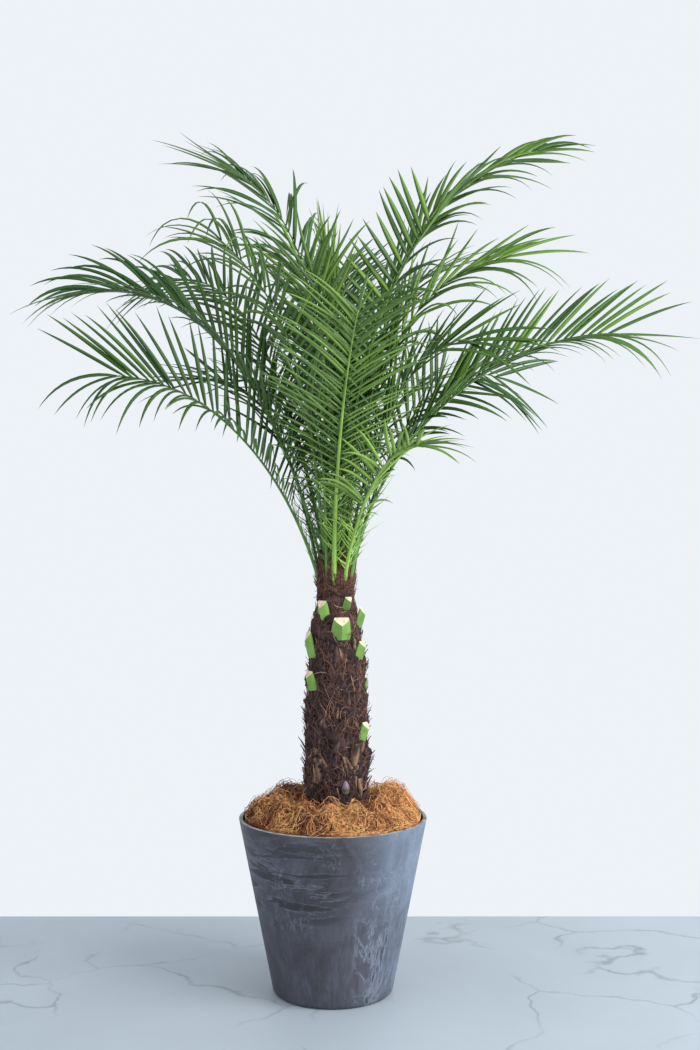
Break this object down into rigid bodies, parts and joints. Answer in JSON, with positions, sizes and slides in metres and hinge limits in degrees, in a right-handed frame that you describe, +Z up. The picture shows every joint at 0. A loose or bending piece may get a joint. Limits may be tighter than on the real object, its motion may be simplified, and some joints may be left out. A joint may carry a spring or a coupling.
{
  "type": "pygmy date palm in a planter",
  "caption": "Potted pygmy date palm: arching feather fronds with fine leaflets over a fibrous trunk, in a tapered slate-grey planter topped with coir.",
  "frame": {"origin": "centre of the planter's flat underside, on the floor", "axes": "+Z up along the planter's axis and the trunk, -Y toward the side shown as the front, +X to its right"},
  "size_m": [1.3581, 1.1106, 1.7352],
  "materials": {
    "pot": "matte slate composite, marbled with pale streaks",
    "soil": "moist dark potting soil",
    "coir": "loose curly fibre, matte",
    "trunk": "matted dark brown fibre over old leaf bases, matte",
    "stub": "green leaf stem with a dry cream cut face",
    "frond_light": "waxy mid green leaf",
    "frond_dark": "waxy dark green leaf"
  },
  "bodies": {
    "root": {"pot": "pot", "potting_soil": "soil", "coir_mulch": "coir", "trunk": "trunk", "leaf_stub_01": "stub", "leaf_stub_02": "stub", "leaf_stub_03": "stub", "leaf_stub_04": "stub", "leaf_stub_05": "stub", "leaf_stub_06": "stub", "leaf_stub_07": "stub", "leaf_stub_08": "stub", "leaf_stub_09": "stub", "leaf_stub_10": "stub", "leaf_stub_11": "stub", "leaf_stub_12": "stub", "leaf_stub_13": "stub", "frond_left_low": "frond_dark", "frond_front_left": "frond_dark", "frond_front": "frond_light", "frond_right_small": "frond_light", "frond_right_mid": "frond_light", "frond_right_low": "frond_light", "frond_right_back": "frond_dark", "frond_back_right": "frond_dark", "frond_back_low": "frond_dark", "frond_back_left": "frond_dark", "frond_left_back": "frond_dark", "frond_left_high": "frond_dark", "frond_crest_left": "frond_dark", "frond_front_high": "frond_light", "frond_crest_right": "frond_light", "frond_right_high": "frond_light", "frond_back_crest": "frond_dark", "frond_back_high": "frond_dark", "frond_left_mid": "frond_dark", "frond_top_right": "frond_light", "frond_top_left": "frond_dark", "frond_top_front": "frond_light", "frond_top_back": "frond_dark", "frond_spear": "frond_light"}
  },
  "joints": []
}
